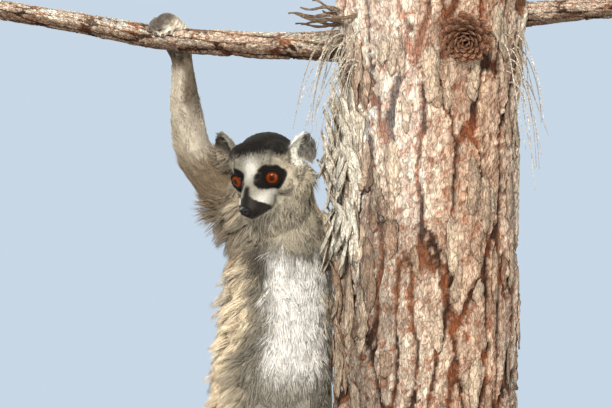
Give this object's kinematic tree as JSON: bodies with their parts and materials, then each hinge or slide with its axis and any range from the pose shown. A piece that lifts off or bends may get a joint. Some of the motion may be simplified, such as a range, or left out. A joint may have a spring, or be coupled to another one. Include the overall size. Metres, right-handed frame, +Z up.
{
  "type": "ring-tailed lemur model",
  "caption": "Life-size still model of a ring-tailed lemur clinging upright to a tree trunk and holding a branch, on a display stand.",
  "frame": {"origin": "centre of the underside of the stand's base, on the floor", "axes": "+Z up along the tree trunk, -Y the way the lemur's chest and belly face, +X the lemur's left side, where the trunk stands"},
  "size_m": [0.551, 0.3223, 0.792],
  "materials": {
    "fur_grey": "dense soft fur",
    "fur_white": "dense soft fur",
    "fur_black": "dense soft fur",
    "bare_skin": "matt bare skin",
    "eye_amber": "wet and clear",
    "bark": "rough flaking bark",
    "stand_paint": "satin black paint",
    "stand_steel": "brushed"
  },
  "bodies": {
    "root": {"belly": "fur_white", "chest": "fur_grey", "ear_left": "fur_white", "ear_right": "fur_white", "eye_left": "eye_amber", "eye_right": "eye_amber", "foot_left": "fur_grey", "foot_right": "fur_grey", "forearm_left": "fur_grey", "forearm_right": "fur_grey", "hand_left": "fur_grey", "hand_right": "fur_grey", "head": "fur_grey", "hips": "fur_grey", "neck": "fur_grey", "nose": "bare_skin", "perch_branch_lower": "bark", "perch_branch_upper": "bark", "perch_stub": "bark", "perch_trunk": "bark", "shank_left": "fur_grey", "shank_right": "fur_grey", "stand_base": "stand_paint", "stand_rod_left": "stand_steel", "stand_rod_right": "stand_steel", "tail_1": "fur_grey", "tail_2": "fur_grey", "tail_3": "fur_grey", "tail_4": "fur_grey", "tail_5": "fur_grey", "tail_6": "fur_black", "thigh_left": "fur_grey", "thigh_right": "fur_grey", "upper_arm_left": "fur_grey", "upper_arm_right": "fur_grey"}
  },
  "joints": []
}
